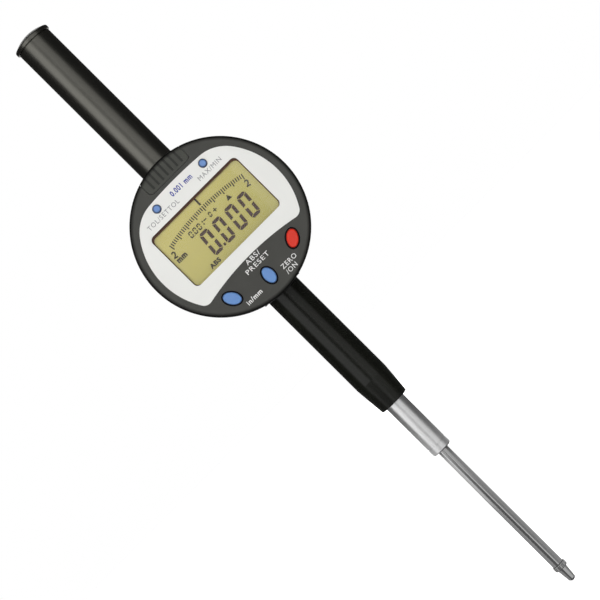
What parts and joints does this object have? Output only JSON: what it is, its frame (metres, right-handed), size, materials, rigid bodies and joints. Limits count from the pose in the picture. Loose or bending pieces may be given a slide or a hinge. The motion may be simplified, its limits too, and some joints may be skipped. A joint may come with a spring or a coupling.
{
  "type": "digital indicator",
  "caption": "Long-travel digital indicator: round turnable display on an upper tube, tapered sleeve, plain clamping stem and a spring-loaded spindle with a ball-ended contact point.",
  "frame": {"origin": "on the spindle's axis, in the middle of the stem's clamping length", "axes": "+Z along the spindle from the contact point to the cap, -Y the side that the display faces, +X to the right of its reader"},
  "size_m": [0.0624, 0.0294, 0.2709],
  "materials": {
    "body_black": "satin",
    "screw_black": "satin",
    "tube_satin": "satin",
    "sleeve_gloss": "gloss",
    "stem_steel": "ground",
    "spindle_steel": "polished",
    "bronze": "satin",
    "inner_steel": "satin",
    "black_rubber": "matte",
    "board_green": "satin",
    "cable_amber": "satin",
    "housing_grey": "matte",
    "drawer_grey": "matte",
    "label_white": "satin",
    "window_clear": "clear",
    "lcd_olive": "satin",
    "frame_black": "matte",
    "silicone_grey": "matte",
    "key_blue": "satin",
    "key_deep_blue": "gloss",
    "key_red": "satin",
    "cell_steel": "polished"
  },
  "bodies": {
    "indicator_body": {"rear_body": "body_black", "back_cover": "body_black", "cover_screws": "screw_black", "upper_tube": "tube_satin", "end_cap": "tube_satin", "lower_sleeve": "sleeve_gloss", "stem": "stem_steel", "lower_bush": "bronze", "upper_bush": "bronze", "spring_anchor": "inner_steel", "return_spring": "inner_steel", "stop_bumper": "black_rubber", "guide_rails": "inner_steel", "guide_screws": "screw_black", "reader_board": "board_green", "reader_screws": "screw_black", "flex_cable": "cable_amber", "retaining_ring": "inner_steel", "ring_screws": "screw_black", "friction_washer": "black_rubber"},
    "spindle_group": {"spindle": "spindle_steel", "contact_point": "spindle_steel", "spindle_carrier": "inner_steel", "guide_pin": "spindle_steel", "scale_strip": "board_green"},
    "display_group": {"display_housing": "housing_grey", "turn_plate": "housing_grey", "plate_screws": "screw_black", "stop_pin": "spindle_steel", "face_label": "label_white", "lcd_window": "window_clear", "lcd_panel": "lcd_olive", "lcd_frame": "frame_black", "zebra_strips": "silicone_grey", "display_board": "board_green", "board_screws": "screw_black", "controller_chip": "frame_black", "keypad_mat": "silicone_grey", "upper_pads": "silicone_grey", "battery_contacts": "bronze", "data_connector": "frame_black"},
    "tol_key": {"tol_button": "key_deep_blue"},
    "max_min_key": {"max_min_button": "key_deep_blue"},
    "in_mm_key": {"in_mm_button": "key_blue"},
    "preset_key": {"preset_button": "key_blue"},
    "zero_key": {"zero_button": "key_red"},
    "drawer_group": {"battery_drawer": "drawer_grey", "coin_cell": "cell_steel"},
    "port_cover_group": {"data_port_cover": "drawer_grey"}
  },
  "joints": [
    {"name": "spindle_slide", "type": "slide", "parent": "indicator_body", "child": "spindle_group", "axis": [0, 0, 1], "range_m": [0, 0.0508], "stiffness_N_per_m": 12, "springref_m": -0.075, "deforming": ["return_spring"]},
    {"name": "display_turn", "type": "hinge", "parent": "indicator_body", "child": "display_group", "pos_m": [0, 0, 0.0977], "axis": [0, -1, 0], "range_deg": [-135, 135]},
    {"name": "tol_press", "type": "slide", "parent": "display_group", "child": "tol_key", "axis": [0, 1, 0], "range_m": [0, 0.00045], "stiffness_N_per_m": 1500, "springref_m": -0.0003},
    {"name": "max_min_press", "type": "slide", "parent": "display_group", "child": "max_min_key", "axis": [0, 1, 0], "range_m": [0, 0.00045], "stiffness_N_per_m": 1500, "springref_m": -0.0003},
    {"name": "in_mm_press", "type": "slide", "parent": "display_group", "child": "in_mm_key", "axis": [0, 1, 0], "range_m": [0, 0.00045], "stiffness_N_per_m": 1500, "springref_m": -0.0003},
    {"name": "preset_press", "type": "slide", "parent": "display_group", "child": "preset_key", "axis": [0, 1, 0], "range_m": [0, 0.00045], "stiffness_N_per_m": 1500, "springref_m": -0.0003},
    {"name": "zero_press", "type": "slide", "parent": "display_group", "child": "zero_key", "axis": [0, 1, 0], "range_m": [0, 0.00045], "stiffness_N_per_m": 1500, "springref_m": -0.0003},
    {"name": "battery_drawer_slide", "type": "slide", "parent": "display_group", "child": "drawer_group", "axis": [0, 0, 1], "range_m": [0, 0.015]},
    {"name": "data_port_cover_pull", "type": "slide", "parent": "display_group", "child": "port_cover_group", "axis": [1, 0, 0], "range_m": [0, 0.004]}
  ]
}
